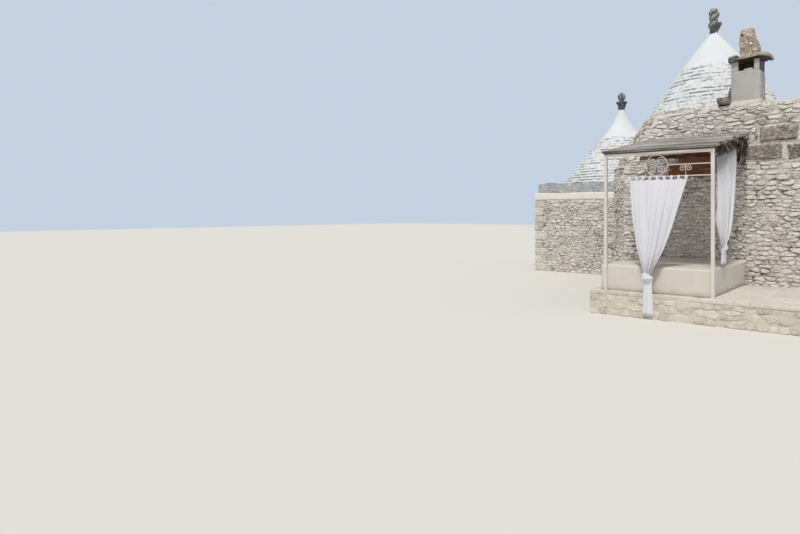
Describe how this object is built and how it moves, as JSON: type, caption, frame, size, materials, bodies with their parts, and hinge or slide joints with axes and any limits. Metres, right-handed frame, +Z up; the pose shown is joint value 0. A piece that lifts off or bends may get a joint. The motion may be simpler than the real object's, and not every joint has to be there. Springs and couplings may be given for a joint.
{
  "type": "trullo house",
  "caption": "Whitewashed stone-coned trullo house with a flat rubble front, chimney, smaller coned block and a canopied daybed on a stone podium",
  "frame": {"origin": "on the axis of the main cone, on the ground, under the room floor", "axes": "+X along the front wall towards its right end, +Y into the house, +Z up"},
  "size_m": [7.945, 10.483, 6.4707],
  "materials": {
    "limestone_rubble": "rough rubble limestone with pale lime mortar",
    "grey_stone": "weathered grey limestone",
    "tan_stone": "rough tan stone with lichen",
    "whitewashed_stone": "thin courses of limestone under limewash",
    "white_plaster": "smooth limewashed plaster",
    "cream_plaster": "smooth cream lime plaster",
    "white_steel": "off-white paint, worn",
    "brown_wood": "red-brown stained softwood",
    "grey_reed": "weathered grey reed and brushwood",
    "white_cloth": "thin white cotton"
  },
  "bodies": {
    "root": {"stone_podium": "limestone_rubble", "plaster_bench": "cream_plaster", "main_floor": "limestone_rubble", "front_wall": "limestone_rubble", "front_parapet": "limestone_rubble", "left_round_wall": "limestone_rubble", "back_wall": "limestone_rubble", "right_wall": "limestone_rubble", "door_sill": "limestone_rubble", "door_lintel": "grey_stone", "corner_roof_slabs": "whitewashed_stone", "cone_stone_skirt": "limestone_rubble", "cone_white_courses": "whitewashed_stone", "cone_plaster_tip": "white_plaster", "main_pinnacle_foot": "grey_stone", "main_pinnacle_ball": "grey_stone", "chimney_shaft": "cream_plaster", "chimney_slab": "grey_stone", "chimney_top_stone": "tan_stone", "spout_stone": "grey_stone", "small_floor": "limestone_rubble", "small_front_wall": "limestone_rubble", "small_back_wall": "limestone_rubble", "small_left_wall": "limestone_rubble", "small_right_wall": "limestone_rubble", "small_door_sill": "limestone_rubble", "small_door_lintel": "grey_stone", "small_coping": "white_plaster", "small_ledge": "grey_stone", "small_white_courses": "whitewashed_stone", "small_plaster_tip": "white_plaster", "small_pinnacle_foot": "grey_stone", "small_pinnacle_ball": "grey_stone", "canopy_posts": "white_steel", "canopy_front_beam": "white_steel", "canopy_side_beams": "white_steel", "canopy_wall_beam": "brown_wood", "canopy_rafters": "brown_wood", "canopy_boards": "brown_wood", "canopy_reed_roof": "grey_reed", "front_curtain_rails": "white_steel", "side_curtain_rail": "white_steel", "iron_scrollwork": "white_steel", "front_curtain": "white_cloth", "side_curtain": "white_cloth"}
  },
  "joints": []
}
